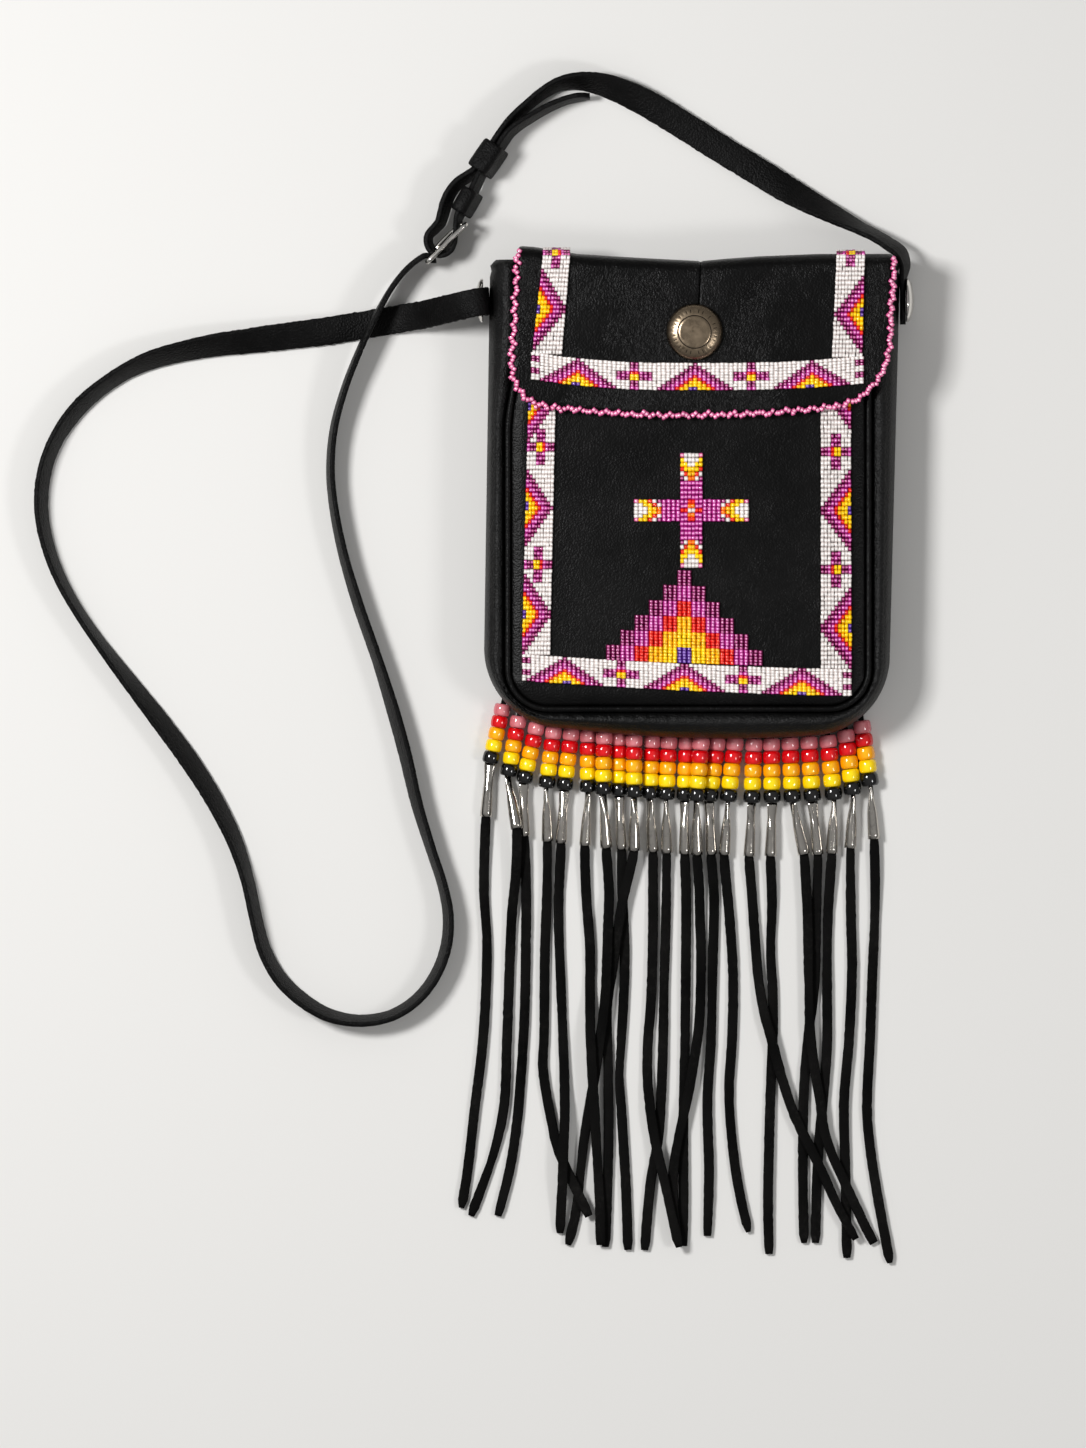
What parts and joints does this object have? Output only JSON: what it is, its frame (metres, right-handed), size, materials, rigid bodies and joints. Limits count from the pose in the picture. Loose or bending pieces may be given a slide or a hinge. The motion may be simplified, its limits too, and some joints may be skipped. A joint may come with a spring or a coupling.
{
  "type": "beaded fringe shoulder bag",
  "caption": "Small black leather shoulder bag with a beaded flap, beaded strips, cross and stepped hill on its front, a fringe of beaded thongs with metal cones, and a buckled strap.",
  "frame": {"origin": "middle of the back panel's flat outer face, which the bag lies on", "axes": "+X to the right as the front is seen, +Y to the flap's fold, +Z out of the front"},
  "size_m": [0.4395, 0.5958, 0.0465],
  "materials": {
    "black_leather": "fine pebbled grain, soft sheen",
    "fringe": "suede thong with glossy pony beads and a rolled metal cone",
    "white_beads": "opaque seed beads sewn in rows",
    "orchid_beads": "opaque seed beads sewn in rows",
    "red_beads": "opaque seed beads sewn in rows",
    "pink_beads": "opaque seed beads in a picot edge",
    "bright_metal": "bright plated",
    "aged_metal": "antique plating, worn on the raised rings"
  },
  "bodies": {
    "bag": {"back_panel": "black_leather", "gusset": "black_leather", "front_panel": "black_leather", "front_piping": "black_leather", "top_panel": "black_leather", "strap_left": "black_leather", "strap_right": "black_leather", "keeper_fixed": "black_leather", "body_strip_left": "white_beads", "body_strip_right": "white_beads", "body_strip_bottom": "white_beads", "press_stud": "bright_metal", "buckle_frame": "bright_metal", "buckle_prong": "bright_metal", "strap_button_left": "bright_metal", "strap_button_right": "bright_metal", "rivet_washer_left": "bright_metal", "rivet_washer_right": "bright_metal", "fringe_strand_01": "fringe", "fringe_strand_02": "fringe", "fringe_strand_03": "fringe", "fringe_strand_04": "fringe", "fringe_strand_05": "fringe", "fringe_strand_06": "fringe", "fringe_strand_07": "fringe", "fringe_strand_08": "fringe", "fringe_strand_09": "fringe", "fringe_strand_10": "fringe", "fringe_strand_11": "fringe", "fringe_strand_12": "fringe", "fringe_strand_13": "fringe", "fringe_strand_14": "fringe", "fringe_strand_15": "fringe", "fringe_strand_16": "fringe", "fringe_strand_17": "fringe", "fringe_strand_18": "fringe", "fringe_strand_19": "fringe", "fringe_strand_20": "fringe", "fringe_strand_21": "fringe", "fringe_strand_22": "fringe", "beaded_cross": "orchid_beads", "beaded_hill": "red_beads"},
    "flap_leaf": {"flap": "black_leather", "flap_edge_beading": "pink_beads", "flap_strip_left": "white_beads", "flap_strip_right": "white_beads", "flap_strip_bottom": "white_beads", "flap_button": "aged_metal", "button_socket": "bright_metal"},
    "keeper": {"keeper_sliding": "black_leather"}
  },
  "joints": [
    {"name": "flap_hinge", "type": "hinge", "parent": "bag", "child": "flap_leaf", "pos_m": [0.00325, 0.1195, 0.0395], "axis": [-1, 0, 0], "range_deg": [0, 150]},
    {"name": "keeper_slide", "type": "slide", "parent": "bag", "child": "keeper", "axis": [0.5664, 0.8241, 0], "range_m": [0, 0.008]}
  ]
}
